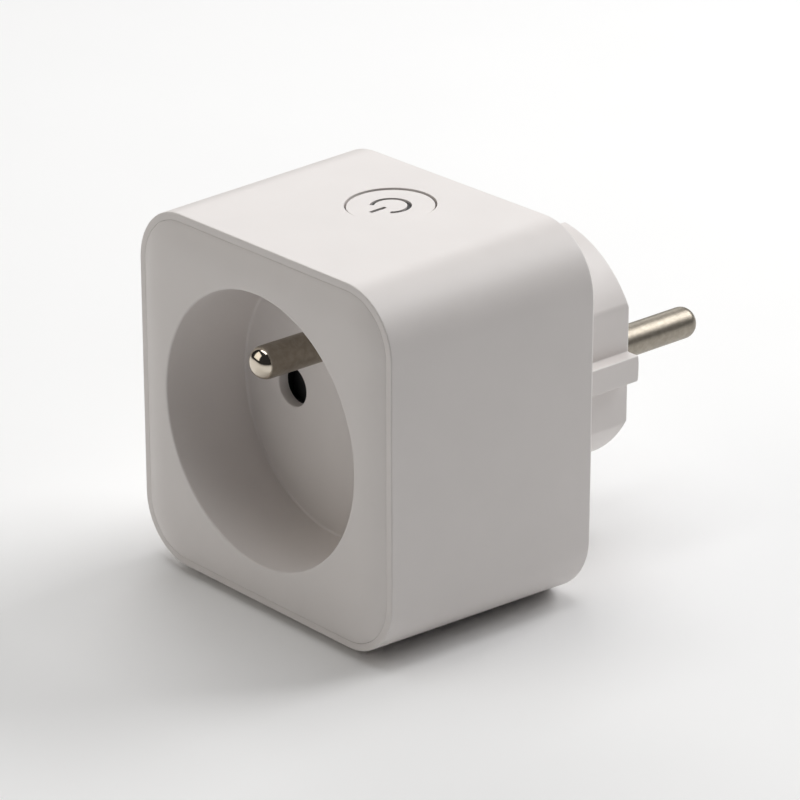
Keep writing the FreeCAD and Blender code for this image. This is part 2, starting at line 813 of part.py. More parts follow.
def make_film_capacitor():
    keep(block("film_cap_near", f"{BOARD_FRONT} - board_part_depth", "0 - film_cap_height / 2",
               "film_cap_width", "board_part_depth", "film_cap_height"), "film_capacitor")


def make_transformer():
    """The small supply transformer: a ferrite frame and the winding inside it."""
    left = "0 - core_near - core_width"
    front = f"{BOARD_FRONT} - board_part_depth"
    bottom = "0 - core_height / 2"
    outer = block(left, front, bottom, "core_width", "board_part_depth - core_stand", "core_height")
    window = block(f"{left} - overcut", f"{front} + core_leg", f"{bottom} + core_leg",
                   "core_width + 2 * overcut", "board_part_depth - core_stand - 2 * core_leg",
                   "core_height - 2 * core_leg")
    keep(minus(outer, window), "transformer_core")
    keep(block(f"{left} + fit_gap", f"{front} + core_leg", f"{bottom} + core_leg",
               "core_width - 2 * fit_gap", "board_part_depth - core_stand - 2 * core_leg",
               "core_height - 2 * core_leg"), "transformer_winding")


def make_capacitor_cans():
    """Two smoothing capacitors that stand on the power board above the contacts."""
    cans = []
    for side in ("", "0 - "):
        cans.append(drum(f"{side}can_offset", f"{BOARD_FRONT} - can_length", "can_height_above",
                         "can_radius", "can_length", "Y"))
    keep(group(*cans), "smoothing_capacitors")


def make_varistor():
    keep(drum("0 - varistor_near - varistor_thick", f"{BOARD_FRONT} - varistor_radius - fit_gap",
              "0 - varistor_drop", "varistor_radius", "varistor_thick", "X"), "surge_varistor")


def make_fuse_resistor():
    keep(drum("fuse_offset", f"{BOARD_FRONT} - fuse_radius - fit_gap", "0 - relay_top - fuse_length",
              "fuse_radius", "fuse_length", "Z"), "fuse_resistor")


def make_board_chips():
    """The metering chip and the bridge rectifier on the board's rear side."""
    meter = block("0 - meter_near - meter_width", BOARD_REAR, "meter_foot",
                  "meter_width", "chip_thick", "meter_height")
    rectifier = block("rectifier_near", BOARD_REAR, "rectifier_foot",
                      "rectifier_width", "chip_thick", "rectifier_height")
    keep(group(meter, rectifier), "board_chips")


# ---- relay ---------------------------------------------------------------------------------------

def make_relay():
    """The power relay: cover, base, coil, yoke, armature with hinge bead and blade, fixed contact."""
    bottom = "0 - relay_top - relay_height"
    front = f"{BOARD_FRONT} - relay_depth"
    cover = block("0 - relay_half_width", front, bottom,
                  "2 * relay_half_width", "relay_depth - relay_wall", "relay_height")
    hollow = block("relay_wall - relay_half_width", f"{front} + relay_wall", f"{bottom} + relay_wall",
                   "2 * relay_half_width - 2 * relay_wall", "relay_depth",
                   "relay_height - 2 * relay_wall")
    keep(minus(cover, hollow), "relay_cover")
    base_front = f"{BOARD_FRONT} - relay_base_thick"
    inset = "(relay_wall + fit_gap)"
    keep(block(f"{inset} - relay_half_width", base_front, f"{bottom} + {inset}",
               f"2 * relay_half_width - 2 * {inset}", "relay_base_thick",
               f"relay_height - 2 * {inset}"), "relay_base")
    middle = "(0 - relay_top - relay_height / 2)"
    core = drum("0 - coil_offset", f"{base_front} - yoke_length + armature_gap", middle,
                "core_radius", "yoke_length - armature_gap", "Y")
    winding = drum("0 - coil_offset", f"{base_front} - coil_length", middle,
                   "coil_radius", "coil_length", "Y")
    keep(joined(winding, core), "relay_coil")
    keep(block("yoke_near", f"{base_front} - yoke_length", f"{middle} - yoke_half_height",
               "yoke_thick", "yoke_length", "2 * yoke_half_height"), "relay_yoke")
    armature_back = f"{base_front} - yoke_length - armature_gap"
    plate = block("0 - armature_reach", f"{armature_back} - armature_thick",
                  f"{middle} - yoke_half_height",
                  "armature_reach + yoke_near + yoke_thick + blade_thick", "armature_thick",
                  "2 * yoke_half_height")
    blade = block("yoke_near + yoke_thick + armature_gap / 2", f"{armature_back} - armature_thick",
                  f"{middle} - core_radius", "blade_thick", "blade_length", "2 * core_radius")
    bead = drum("yoke_near + yoke_thick", armature_back, f"{middle} - yoke_half_height",
                "hinge_bead_radius", "2 * yoke_half_height")
    keep(joined(plate, blade, bead), "relay_armature")
    keep(block("fixed_contact_near", f"{base_front} - coil_length", f"{middle} - core_radius",
               "strip_thick", "coil_length", "2 * core_radius"), "relay_contact")


# ---- button and control board --------------------------------------------------------------------

def top_plane_cut(body):
    """Trim everything above the casing's sloping top face."""
    middle = f"(shell_front_size / 2 + {DRAFT} * ({BUTTON_Y} - {SEAM} - seam_gap))"
    sketch = profile(body)
    outline(sketch, [
        (f"{BUTTON_Y} - trim_reach", f"{middle} - {DRAFT} * trim_reach"),
        (f"{BUTTON_Y} + trim_reach", f"{middle} + {DRAFT} * trim_reach"),
        (f"{BUTTON_Y} + trim_reach", BEYOND),
        (f"{BUTTON_Y} - trim_reach", BEYOND),
    ])
    cut(body, sketch, "2 * trim_reach", both_sides=True)


def power_icon(sketch):
    """The standby symbol: an open ring whose gap and bar point to the front."""
    radius = value("icon_radius")
    half = value("icon_stroke / 2")
    open_angle = math.radians(value("icon_gap_angle"))
    centre = FreeCAD.Vector(0, value(BUTTON_Y), 0)
    begin = open_angle - math.pi / 2
    end = 3 * math.pi / 2 - open_angle
    first = len(sketch.Geometry)
    for reach in (radius + half, radius - half):
        ring = Part.Circle(centre, FreeCAD.Vector(0, 0, 1), reach)
        sketch.addGeometry(Part.ArcOfCircle(ring, begin, end))
    for angle in (begin, end):
        ray = FreeCAD.Vector(math.cos(angle), math.sin(angle), 0)
        sketch.addGeometry(Part.LineSegment(centre + ray * (radius + half), centre + ray * (radius - half)))
    for step in range(4):
        sketch.addConstraint(Sketcher.Constraint("Block", first + step))
    rectangle(sketch, "0 - icon_stroke / 2", "icon_stroke / 2",
              f"{BUTTON_Y} - icon_bar_outer", f"{BUTTON_Y} - icon_bar_inner")


def make_button_cap():
    """The flush round button: a flanged cap with the standby symbol cut through its skin."""
    body = new_body("button_cap")
    sketch = level(body, "button_flange_floor")
    circle(sketch, "0", BUTTON_Y, "button_flange_radius")
    pad(body, sketch, "button_flange_thick")
    sketch = level(body, "button_flange_floor")
    circle(sketch, "0", BUTTON_Y, "button_radius")
    pad(body, sketch, "shell_rear_size / 2 - button_flange_floor")
    top_plane_cut(body)
    sketch = level(body, "button_flange_floor")
    circle(sketch, "0", BUTTON_Y, "guide_radius")
    cut(body, sketch, "button_skin_level - button_flange_floor")
    sketch = level(body, "button_flange_floor")
    power_icon(sketch)
    cut(body, sketch, "shell_rear_size / 2")


def make_button_light_guide():
    """The dark translucent disc under the cap that shows through the symbol."""
    guide = drum("0", BUTTON_Y, "button_flange_floor", "guide_radius - fit_gap / 2",
                 "button_skin_level - button_flange_floor")
    keep(guide, "button_light_guide")


def make_switch():
    """The push switch on the control board and its plunger."""
    body = block("0 - switch_size / 2", f"{BUTTON_Y} - switch_size / 2", "control_board_top",
                 "switch_size", "switch_size", "switch_height")
    well = drum("0", BUTTON_Y, "control_board_top + plunger_well_floor", "plunger_radius + fit_gap",
                "switch_height")
    keep(minus(body, well), "switch_body")
    keep(drum("0", BUTTON_Y, "button_flange_floor - plunger_length", "plunger_radius", "plunger_length"),
         "switch_plunger")


def make_control_board():
    """The small board under the button, its lamp, header and radio module."""
    under = "control_board_top - control_board_thick"
    length = f"{BOARD_FRONT} + control_board_front"
    keep(block("0 - control_board_half_width", "0 - control_board_front", under,
               "2 * control_board_half_width", length, "control_board_thick"), "control_board")
    keep(block("switch_size / 2 + chip_thick", f"{BUTTON_Y} - chip_thick / 2", "control_board_top",
               "chip_thick", "chip_thick", "chip_thick"), "indicator_lamp")
    keep(block("0 - header_half_width", f"{BOARD_FRONT} - header_length", f"{under} - header_height",
               "2 * header_half_width", "header_length", "header_height"), "board_header")
    module_front = "0 - control_board_front"
    keep(block("0 - module_half_width", module_front, f"{under} - module_thick",
               "2 * module_half_width", "module_length", "module_thick"), "radio_board")
    shield_bottom = f"{under} - module_thick - shield_height"
    keep(block("shield_inset - module_half_width", f"{module_front} + shield_inset", shield_bottom,
               "shield_width", "module_length - 2 * shield_inset", "shield_height"),
         "radio_shield")


# ---- assembly, checks and export -----------------------------------------------------------------

def build():
    fill_sheet()
    make_front_cover()
    make_body_shell()
    make_rear_cover()
    make_plug_pin("line_pin", HALF_PITCH)
    make_plug_pin("neutral_pin", f"0 - {HALF_PITCH}")
    make_earth_pin()
    make_earth_clip("earth_clip_upper", "")
    make_earth_clip("earth_clip_lower", "0 - ")
    make_earth_bridge()
    make_earth_receptacle()
    make_pin_strap("line_strap", "")
    make_pin_strap("neutral_strap", "0 - ")
    make_shutter_tray()
    make_shutter_slider()
    make_shutter_spring()
    make_contact("line_contact", HALF_PITCH)
    make_contact("neutral_contact", f"0 - {HALF_PITCH}")
    make_contact_holder()
    make_power_board()
    make_board_screws()
    make_film_capacitor()
    make_transformer()
    make_capacitor_cans()
    make_varistor()
    make_fuse_resistor()
    make_board_chips()
    make_relay()
    make_button_cap()
    make_button_light_guide()
    make_switch()
    make_control_board()
    doc.recompute()


def check():
    """Stop before anything is written if an object failed or a sub-part isn't sound."""
    failed = [item.Label for item in doc.Objects if {"Invalid", "Error"} & set(item.State)]
    if failed:
        raise RuntimeError(f"failed objects: {failed}")
    for item in nodes:
        if item.Shape.isNull() or not item.Shape.isValid() or not item.Shape.Solids:
            raise RuntimeError(f"unsound sub-part: {item.Label}")


def export():
    os.makedirs("parts", exist_ok=True)
    for item in nodes:
        box = item.Shape.BoundBox
        item.Shape.exportStep(f"parts/{item.Label}.step")
        print(f"{item.Label:22} {len(item.Shape.Solids)} solid(s) {item.Shape.Volume:9.1f} mm3 "
              f"X {box.XMin:.2f}..{box.XMax:.2f} Y {box.YMin:.2f}..{box.YMax:.2f} "
              f"Z {box.ZMin:.2f}..{box.ZMax:.2f}")


build()
check()
export()
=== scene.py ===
import math

import bmesh
import bpy
from mathutils import Matrix, Vector


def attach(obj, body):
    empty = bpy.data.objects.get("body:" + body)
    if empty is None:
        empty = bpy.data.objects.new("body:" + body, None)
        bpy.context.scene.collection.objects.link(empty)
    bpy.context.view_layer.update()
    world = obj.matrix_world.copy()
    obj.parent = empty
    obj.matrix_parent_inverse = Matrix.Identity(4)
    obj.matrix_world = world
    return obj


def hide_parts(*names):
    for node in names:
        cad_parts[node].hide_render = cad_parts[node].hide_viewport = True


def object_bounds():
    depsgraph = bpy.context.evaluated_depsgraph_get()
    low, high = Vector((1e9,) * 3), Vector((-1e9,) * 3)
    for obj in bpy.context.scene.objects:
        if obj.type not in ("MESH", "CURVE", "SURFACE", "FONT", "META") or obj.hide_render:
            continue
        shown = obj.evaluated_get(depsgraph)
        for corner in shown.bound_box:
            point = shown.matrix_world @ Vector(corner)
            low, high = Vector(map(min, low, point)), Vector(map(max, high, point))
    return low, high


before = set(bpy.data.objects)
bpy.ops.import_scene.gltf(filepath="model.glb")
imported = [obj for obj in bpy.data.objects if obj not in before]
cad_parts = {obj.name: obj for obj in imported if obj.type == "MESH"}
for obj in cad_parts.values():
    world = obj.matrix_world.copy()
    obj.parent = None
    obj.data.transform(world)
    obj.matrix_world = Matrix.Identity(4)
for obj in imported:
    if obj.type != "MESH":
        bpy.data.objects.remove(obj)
cad_low, cad_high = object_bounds()

# A mains smart plug. Shapes are drawn in millimetres, with +Y along the plug pins and +Z up through
# the button, and are brought to metres as each piece is finished.
MM = 0.001
CLOSE = 1e-4  # points nearer than this are one point
FACE, SEAM, FLOOR, FLOOR_BACK = -55.9, -54.9, -41.7, -40.0    # front cover, along Y
SHELL_FRONT, SHELL_REAR, REAR_INSIDE = -54.78, -18.6, -20.6   # sleeve and rear plate, along Y
FRONT_HALF, FRONT_CORNER = 26.85, 9.0                         # half width and corner radius
REAR_HALF, REAR_CORNER = 27.9, 10.0
SLOPE = (REAR_HALF - FRONT_HALF) / (SHELL_REAR - SHELL_FRONT)
BUTTON_Y = -31.45
TOP_AT_BUTTON = FRONT_HALF + SLOPE * (BUTTON_Y - SHELL_FRONT)
HALF_PITCH = 9.5
EARTH_Z = 10.0
ACROSS = Matrix.Rotation(math.pi / 2, 4, "X")  # stands a flat drawing up across the plug axis


# ---- finishes ---------------------------------------------------------------------------------

def new_finish(name, roughness, metal=0.0, coat=0.0):
    """A fresh material with its shader's constant values set."""
    made = bpy.data.materials.new(name)
    made.use_nodes = True
    shader = made.node_tree.nodes["Principled BSDF"]
    shader.inputs["Roughness"].default_value = roughness
    shader.inputs["Metallic"].default_value = metal
    shader.inputs["Coat Weight"].default_value = coat
    shader.inputs["Coat Roughness"].default_value = 0.2
    return made, made.node_tree, shader


def object_place(tree):
    """Places on the piece in its own coordinates, which every pattern follows."""
    return tree.nodes.new("ShaderNodeTexCoord").outputs["Object"]


def grain(tree, size, detail=3.0, stretch=(1, 1, 1)):
    """Noise whose lumps are about size millimetres across, drawn out by stretch."""
    scale = tree.nodes.new("ShaderNodeMapping")
    scale.inputs["Scale"].default_value = [1 / (size * MM * s) for s in stretch]
    noise = tree.nodes.new("ShaderNodeTexNoise")
    noise.inputs["Scale"].default_value = 1.0
    noise.inputs["Detail"].default_value = detail
    noise.inputs["Roughness"].default_value = 0.55
    tree.links.new(object_place(tree), scale.inputs["Vector"])
    tree.links.new(scale.outputs["Vector"], noise.inputs["Vector"])
    return noise.outputs["Fac"]


def blend_colours(tree, share, first, second):
    """The first colour where share is 0, and the second where it is 1."""
    mix = tree.nodes.new("ShaderNodeMix")
    mix.data_type = "RGBA"
    mix.inputs["A"].default_value = (*first, 1)
    mix.inputs["B"].default_value = (*second, 1)
    tree.links.new(share, mix.inputs["Factor"])
    return mix.outputs["Result"]


def spread_over(tree, share, low, high, start=0.3, end=0.7):
    """Turn a share between start and end into a value between low and high."""
    reach = tree.nodes.new("ShaderNodeMapRange")
    for socket, number in (("From Min", start), ("From Max", end),
                           ("To Min", low), ("To Max", high)):
        reach.inputs[socket].default_value = number
    tree.links.new(share, reach.inputs["Value"])
    return reach.outputs["Result"]


def raise_surface(tree, shader, height, depth, strength=1.0):
    """Relief of the given depth in millimetres."""
    bump = tree.nodes.new("ShaderNodeBump")
    bump.inputs["Strength"].default_value = strength
    bump.inputs["Distance"].default_value = depth * MM
    tree.links.new(height, bump.inputs["Height"])
    if shader.inputs["Normal"].links:
        tree.links.new(shader.inputs["Normal"].links[0].from_socket, bump.inputs["Normal"])
    tree.links.new(bump.outputs["Normal"], shader.inputs["Normal"])


def shades(colour, spread):
    """A darker and a lighter shade of a colour."""
    return [c * (1 - spread) for c in colour], [min(1.0, c * (1 + spread)) for c in colour]


def moulded(name, colour, roughness, texture, depth, spread, flow=9.0, coat=0.0):
    """Moulded plastic: fine eroded texture, faint flow clouds and a slightly uneven sheen."""
    made, tree, shader = new_finish(name, roughness, coat=coat)
    cloud = grain(tree, flow, 2.0)
    tree.links.new(blend_colours(tree, spread_over(tree, cloud, 0, 1), *shades(colour, spread)),
                   shader.inputs["Base Color"])
    fine = grain(tree, texture, 2.0)
    tree.links.new(spread_over(tree, grain(tree, flow / 4), roughness - 0.04, roughness + 0.05),
                   shader.inputs["Roughness"])
    raise_surface(tree, shader, fine, depth)
    return made


# The earth pin's tip is rubbed smooth to the sheen roughness, and its colour is painted the tone
# times brighter, a painted highlight; both fade in over the fade width.
PAINTED_HIGHLIGHT_TONE, RUBBED_SHEEN, RUB_AND_HIGHLIGHT_FADE = 2.1, 0.1, 0.3


def metal(name, colour, roughness, stretch, streak, depth, spread, stain=4.0, rubbed_and_highlit=None):
    """Worked metal: fine tool lines along the stretch, cloudy tarnish and a sheen that follows
    both. In front of the plane across Y that is given, if any, it is rubbed smooth, and its colour
    is painted brighter there as a painted highlight."""
    made, tree, shader = new_finish(name, roughness, metal=1.0)
    cloud = grain(tree, stain, 4.0)
    lines = grain(tree, streak, 3.0, stretch)
    tone = blend_colours(tree, spread_over(tree, cloud, 0, 1, 0.35, 0.65), *shades(colour, spread))
    sheen = spread_over(tree, lines, roughness - 0.05, roughness + 0.08)
    if rubbed_and_highlit is not None:
        # Mask of the rubbed tip. It makes the tip smoother and paints its colour brighter as a
        # painted highlight.
        split = tree.nodes.new("ShaderNodeSeparateXYZ")
        tree.links.new(object_place(tree), split.inputs["Vector"])
        wear_and_highlight = spread_over(tree, split.outputs["Y"], 0, 1, (rubbed_and_highlit - RUB_AND_HIGHLIGHT_FADE) * MM, rubbed_and_highlit * MM)
        share = tree.nodes.new("ShaderNodeMix")
        share.inputs["A"].default_value = RUBBED_SHEEN
        tree.links.new(wear_and_highlight, share.inputs["Factor"])
        tree.links.new(sheen, share.inputs["B"])
        sheen = share.outputs["Result"]
        # Painted highlight: the tip's colour is painted brighter than the shank's.
        painted_highlight = blend_colours(tree, wear_and_highlight, [min(1.0, c * PAINTED_HIGHLIGHT_TONE) for c in colour], colour)
        tree.links.new(tone, painted_highlight.node.inputs["B"])
        tone = painted_highlight
    tree.links.new(tone, shader.inputs["Base Color"])
    tree.links.new(sheen, shader.inputs["Roughness"])
    raise_surface(tree, shader, lines, depth)
    return made


def laminate(name):
    """Solder-masked circuit board: a raised grid of tracks under a green mask, and a fine grain."""
    made, tree, shader = new_finish(name, 0.3, coat=0.3)
    tracks = tree.nodes.new("ShaderNodeTexBrick")
    for socket, number in (("Scale", 260.0), ("Mortar Size", 0.09),
                           ("Mortar Smooth", 0.15), ("Bias", 0.2)):
        tracks.inputs[socket].default_value = number
    tracks.inputs["Color1"].default_value = (0.010, 0.085, 0.030, 1)
    tracks.inputs["Color2"].default_value = (0.012, 0.105, 0.038, 1)
    tracks.inputs["Mortar"].default_value = (0.030, 0.190, 0.070, 1)
    tree.links.new(object_place(tree), tracks.inputs["Vector"])
    tree.links.new(tracks.outputs["Color"], shader.inputs["Base Color"])
    tree.links.new(spread_over(tree, grain(tree, 0.5), 0.24, 0.38), shader.inputs["Roughness"])
    raise_surface(tree, shader, tracks.outputs["Fac"], 0.02)
    raise_surface(tree, shader, grain(tree, 0.3), 0.004)
    return made


WAVE_REPEAT = 0.314  # a wave texture of scale 1 repeats after this length


def banded(name, first, second, pitch, roughness, relief):
    """Wrapped tape: regular turns across the Y axis, with uneven tone between them."""
    made, tree, shader = new_finish(name, roughness, coat=0.2)
    turns = tree.nodes.new("ShaderNodeTexWave")
    turns.bands_direction = "Y"
    turns.inputs["Scale"].default_value = WAVE_REPEAT / (pitch * MM)
    turns.inputs["Distortion"].default_value = 0.4
    turns.inputs["Detail"].default_value = 1.0
    tree.links.new(object_place(tree), turns.inputs["Vector"])
    tree.links.new(blend_colours(tree, turns.outputs["Fac"], first, second),
                   shader.inputs["Base Color"])
    tree.links.new(spread_over(tree, grain(tree, 1.2), roughness - 0.06, roughness + 0.08),
                   shader.inputs["Roughness"])
    raise_surface(tree, shader, turns.outputs["Fac"], relief)
    return made


FINISHES = {
    "casing_plastic": moulded("warm_white_casing", (0.785, 0.745, 0.725), 0.42, 0.14, 0.0035,
                              0.012),
    # The earth pin's tip is rubbed smooth, and its colour is painted brighter as a painted
    # highlight.
    "nickel_plate": metal("turned_nickel", (0.34, 0.305, 0.255), 0.40, (1, 12, 1), 0.10, 0.0025,
                          0.09, 0.8, rubbed_and_highlit=FACE + 1.0),
    "contact_brass": metal("stamped_brass", (0.68, 0.47, 0.20), 0.28, (1, 5, 1), 0.2, 0.002, 0.12),
    "black_plastic": moulded("fine_matt_black", (0.018, 0.018, 0.020), 0.5, 0.2, 0.006, 0.25),
    "nylon": moulded("natural_nylon", (0.60, 0.57, 0.49), 0.5, 0.3, 0.006, 0.05, coat=0.1),
    "circuit_board": laminate("masked_board"),
    "tin_plate": metal("dull_tin", (0.55, 0.55, 0.54), 0.38, (1, 1, 4), 0.35, 0.003, 0.10),
    "ferrite": moulded("fired_ferrite", (0.030, 0.029, 0.030), 0.62, 0.25, 0.012, 0.3, 3.0),
    "winding_tape": banded("wrapped_winding", (0.56, 0.30, 0.035), (0.70, 0.42, 0.06), 0.35, 0.32,
                           0.03),
    "film_case": moulded("yellow_film_case", (0.66, 0.44, 0.035), 0.35, 0.3, 0.004, 0.06),
    "can_sleeve": moulded("shrunk_sleeve", (0.012, 0.014, 0.030), 0.3, 1.2, 0.02, 0.3, 5.0, 0.3),
    "varistor_coat": moulded("dipped_blue_coat", (0.015, 0.075, 0.33), 0.3, 1.5, 0.05, 0.12, 4.0,
                             0.4),
    "resistor_coat": moulded("cement_coat", (0.13, 0.22, 0.14), 0.6, 0.3, 0.02, 0.12, 2.0),
    "smoke_plastic": moulded("smoked_guide", (0.008, 0.008, 0.009), 0.55, 0.5, 0.002, 0.2),
    "lamp_resin": moulded("clear_lamp_resin", (0.70, 0.72, 0.76), 0.15, 0.8, 0.002, 0.03, coat=0.5),
    "spring_steel": metal("drawn_steel", (0.46, 0.46, 0.47), 0.26, (8, 1, 1), 0.15, 0.0015, 0.08),
}


# ---- drawing tools ----------------------------------------------------------------------------

def at(x=0.0, y=0.0, z=0.0):
    return Matrix.Translation((x, y, z))


def loose_edges(verts):
    """Every edge on these points once, in the same order on each run."""
    return list(dict.fromkeys(edge for vert in verts for edge in vert.link_edges))


def open_outline(bm, cut):
    """Take away the face that a corner bevel left, and keep its edges."""
    face = cut["verts"][0].link_faces[0]
    edges = list(face.edges)
    bmesh.ops.delete(bm, geom=[face], context="FACES_ONLY")
    return edges


def square_loop(bm, half, corner, y, tall=None, steps=20):
    """A rounded square, or a rounded rectangle if tall is given, across the plug axis."""
    stretch = Matrix.Scale((tall or half) / half, 4, (0, 1, 0))
    grid = bmesh.ops.create_grid(bm, x_segments=1, y_segments=1, size=half,
                                 matrix=at(y=y) @ ACROSS @ stretch)
    cut = bmesh.ops.bevel(bm, geom=grid["verts"], offset=corner, offset_type="OFFSET",
                          segments=steps, profile=0.5, affect="VERTICES", material=-1)
    return open_outline(bm, cut)


def round_loop(bm, radius, y, x=0.0, z=0.0, steps=96):
    """A circle across the plug axis."""
    ring = bmesh.ops.create_circle(bm, cap_ends=False, segments=steps, radius=radius,
                                   matrix=at(x, y, z) @ ACROSS)
    return loose_edges(ring["verts"])


def level_loop(bm, radius, z, steps=96):
    """A level circle about the button's axis."""
    ring = bmesh.ops.create_circle(bm, cap_ends=False, segments=steps, radius=radius,
                                   matrix=at(0, BUTTON_Y, z))
    return loose_edges(ring["verts"])


def fill(bm, *loops):
    """A flat face inside the outermost loop, with the other loops as its holes."""
    bmesh.ops.triangle_fill(bm, use_beauty=True, use_dissolve=False,
                            edges=[edge for loop in loops for edge in loop])


def bridge(bm, *loops):
    """Walls from each loop to the next. Two loops in one plane are joined by a flat ring."""
    for near, far in zip(loops, loops[1:]):
        places = [vert.co for edge in near + far for vert in edge.verts]
        thickness = min(max(p[axis] for p in places) - min(p[axis] for p in places)
                        for axis in (1, 2))
        if thickness < CLOSE:
            fill(bm, near, far)
        else:
            bmesh.ops.bridge_loops(bm, edges=near + far)


def quarter(radius, steps=5):
    """(inset, rise) pairs along a quarter round, from the side wall to the end face."""
    angles = [math.pi / 2 * step / steps for step in range(steps + 1)]
    return [(radius * (1 - math.cos(a)), radius * math.sin(a)) for a in angles]


def tilt_to_top(bm, edges):
    """Lean level loops, drawn at the button centre's height, onto the casing's sloping top."""
    lean = Matrix(((1, 0, 0, 0), (0, 1, 0, 0), (0, SLOPE, 1, -SLOPE * BUTTON_Y), (0, 0, 0, 1)))
    bmesh.ops.transform(bm, matrix=lean, verts=list({v for e in edges for v in e.verts}))
    return edges


def finished(bm, name, slot, body, *nodes, sharp=35.0):
    """Turn a drawing into a piece that rides on a body and stands for CAD nodes."""
    bmesh.ops.remove_doubles(bm, verts=bm.verts, dist=CLOSE)
    bmesh.ops.recalc_face_normals(bm, faces=bm.faces)
    bmesh.ops.scale(bm, vec=(MM, MM, MM), verts=bm.verts)
    mesh = bpy.data.meshes.new(name)
    bm.to_mesh(mesh)
    bm.free()
    mesh.materials.append(FINISHES[slot])
    mesh.shade_smooth()
    mesh.set_sharp_from_angle(angle=math.radians(sharp))
    piece = bpy.data.objects.new(name, mesh)
    bpy.context.scene.collection.objects.link(piece)
    weighted = piece.modifiers.new("even_shading", "WEIGHTED_NORMAL")
    weighted.keep_sharp = True
    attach(piece, body)
    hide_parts(*nodes)
    return piece


# ---- casing -----------------------------------------------------------------------------------

EDGE_ROUND, REAR_ROUND = 0.2, 0.5  # rounds at the sleeve's front and rear edges
WALL = 2.0                 # the sleeve's thickness
LIP, LIP_GAP = 1.1, 0.04   # the sleeve's flat rim around the crowned cover
CROWN_WIDTH = 5.0          # the cover falls away to the rim over this width
CROWN_CURVE = 2.2
CROWN_STEPS = (0.0, 0.02, 0.05, 0.1, 0.2, 0.3, 0.4, 0.5, 0.6, 0.7, 0.8, 0.9, 1.0)
UNDER = SEAM + 1.0         # the cover's plate ends here
SEAT = UNDER + 0.05        # the rebate of the sleeve that it lies in
RIM_ROUND, FLOOR_ROUND = 0.3, 0.35
RECESS_RIM, RECESS_FLOOR, CUP = 20.2, 19.87, 21.7  # radii; CUP is the recess wall's outside
RECESS_TAPER = 0.03
RECESS_STEPS = 160
HOLE, PIN_HOLE, HOLE_ROUND = 3.0, 2.45, 0.2
FLOOR_HOLES = ((-HALF_PITCH, 0, HOLE, 64), (HALF_PITCH, 0, HOLE, 64), (0, EARTH_Z, PIN_HOLE, 48))
POSTS = [(x, z) for x in (-18.6, 18.6) for z in (-18.6, 18.6)]
POST, POST_NOSE, PILOT = 2.6, 2.4, 0.95    # radii of a screw post and its pilot hole
POST_END, PILOT_BOTTOM = -24.2, -33.2
SKIRT_OUT, SKIRT_IN = (24.75, 6.9), (23.55, 5.7)  # half width and corner radius
SKIRT_END = SEAM + 3.5
CHAMFER = 0.2
STEP, STEP_CORNER = 26.7, 8.8    # the step in the sleeve's rear that holds the rear plate
BUTTON_HOLE, HOLE_EDGE = 6.5, 0.05


def make_face_cover():
    """Crowned face plate with the socket cup, its floor and holes, the skirt and four posts."""
    bm = bmesh.new()
    edge = LIP + LIP_GAP
    stations = [(edge, UNDER)]
    for share in CROWN_STEPS:
        stations.append((edge + CROWN_WIDTH * share,
                         FACE + (SEAM - FACE) * (1 - share) ** CROWN_CURVE))
    skin = [square_loop(bm, FRONT_HALF - inset, FRONT_CORNER - inset, y) for inset, y in stations]
    bridge(bm, *skin)
    rim = [round_loop(bm, RECESS_RIM + RIM_ROUND - rise, FACE + inset, steps=RECESS_STEPS)
           for inset, rise in quarter(RIM_ROUND, 6)]
    fill(bm, skin[-1], rim[0])
    wall = [round_loop(bm, RECESS_FLOOR + RECESS_TAPER, FLOOR - FLOOR_ROUND, steps=RECESS_STEPS)]
    wall += [round_loop(bm, RECESS_FLOOR - inset, FLOOR - FLOOR_ROUND + rise, steps=RECESS_STEPS)
             for inset, rise in quarter(FLOOR_ROUND, 4)[1:]]
    bridge(bm, *rim, *wall)
    front_holes, back_holes = [], []
    for x, z, radius, steps in FLOOR_HOLES:
        mouth = [round_loop(bm, radius + HOLE_ROUND - rise, FLOOR + inset, x, z, steps)
                 for inset, rise in quarter(HOLE_ROUND, 3)]
        back = round_loop(bm, radius, FLOOR_BACK, x, z, steps)
        bridge(bm, *mouth, back)
        front_holes.append(mouth[0])
        back_holes.append(back)
    fill(bm, wall[-1], *front_holes)
    cup_back = round_loop(bm, CUP - CHAMFER, FLOOR_BACK, steps=RECESS_STEPS)
    fill(bm, cup_back, *back_holes)
    cup_root = round_loop(bm, CUP, UNDER, steps=RECESS_STEPS)
    bridge(bm, cup_back, round_loop(bm, CUP, FLOOR_BACK - CHAMFER, steps=RECESS_STEPS), cup_root)
    post_roots = []
    for x, z in POSTS:
        stations = ((POST, UNDER), (POST, POST_END - CHAMFER), (POST_NOSE, POST_END),
                    (PILOT, POST_END), (PILOT, PILOT_BOTTOM))
        loops = [round_loop(bm, radius, y, x, z, 32) for radius, y in stations]
        bridge(bm, *loops)
        fill(bm, loops[-1])
        post_roots.append(loops[0])
    (half_out, corner_out), (half_in, corner_in) = SKIRT_OUT, SKIRT_IN
    skirt = [square_loop(bm, half_out, corner_out, UNDER),
             square_loop(bm, half_out, corner_out, SKIRT_END - CHAMFER),
             square_loop(bm, half_out - CHAMFER, corner_out - CHAMFER, SKIRT_END),
             square_loop(bm, half_in, corner_in, SKIRT_END),
             square_loop(bm, half_in, corner_in, UNDER)]
    bridge(bm, *skirt)
    bridge(bm, skin[0], skirt[0])
    fill(bm, skirt[-1], cup_root, *post_roots)
    finished(bm, "face_cover", "casing_plastic", "casing", "front_cover")


def top_panel(bm, level):
    """The sleeve's large flat four-sided face at about the height level."""
    level_enough, near_enough, large_enough = 0.99, 0.4, 500
    return next(face for face in bm.faces
                if len(face.verts) == 4 and abs(face.normal.z) > level_enough
                and abs(face.calc_center_median().z - level) < near_enough
                and face.calc_area() > large_enough)


